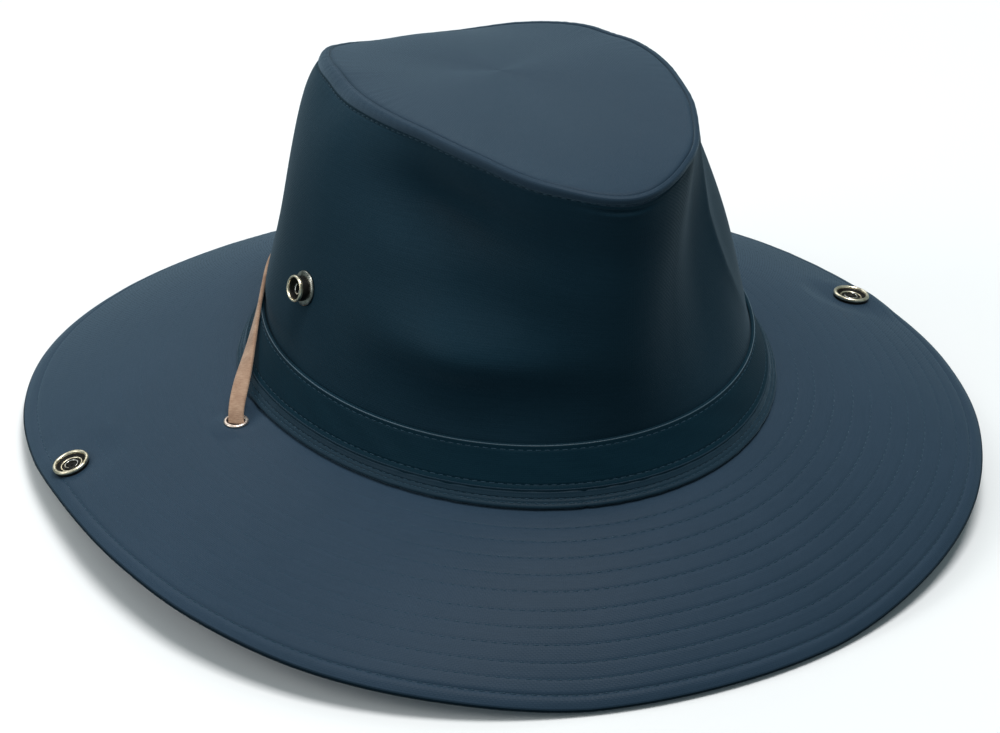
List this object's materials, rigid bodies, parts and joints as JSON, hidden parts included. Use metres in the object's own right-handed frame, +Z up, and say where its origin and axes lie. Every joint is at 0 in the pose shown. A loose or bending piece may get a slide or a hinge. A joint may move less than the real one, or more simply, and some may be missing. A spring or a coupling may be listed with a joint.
{
  "type": "safari hat",
  "caption": "Cloth safari hat with a teardrop crown tip, a stitched wide brim, a folded band, snap fittings for turning the brim up and a lace chin strap, resting on its brim.",
  "frame": {"origin": "middle of the hat on the surface that its brim rests on", "axes": "+Z up, -Y towards the front of the hat, +X towards the wearer's left"},
  "size_m": [0.2992, 0.3216, 0.1418],
  "materials": {
    "brim_cloth": "satin",
    "crown_cloth": "satin",
    "band_cloth": "satin",
    "antique_brass": "antiqued",
    "copper_lacquer": "satin",
    "suede": "matte"
  },
  "bodies": {
    "root": {"brim": "brim_cloth", "crown_side": "crown_cloth", "crown_tip": "crown_cloth", "foot_strip": "brim_cloth", "hat_band": "band_cloth", "brim_snap_left": "antique_brass", "brim_snap_right": "antique_brass", "crown_stud_left": "antique_brass", "crown_stud_right": "antique_brass", "eyelet_left": "copper_lacquer", "eyelet_right": "copper_lacquer", "strap_over": "suede", "chin_loop": "suede"}
  },
  "joints": []
}
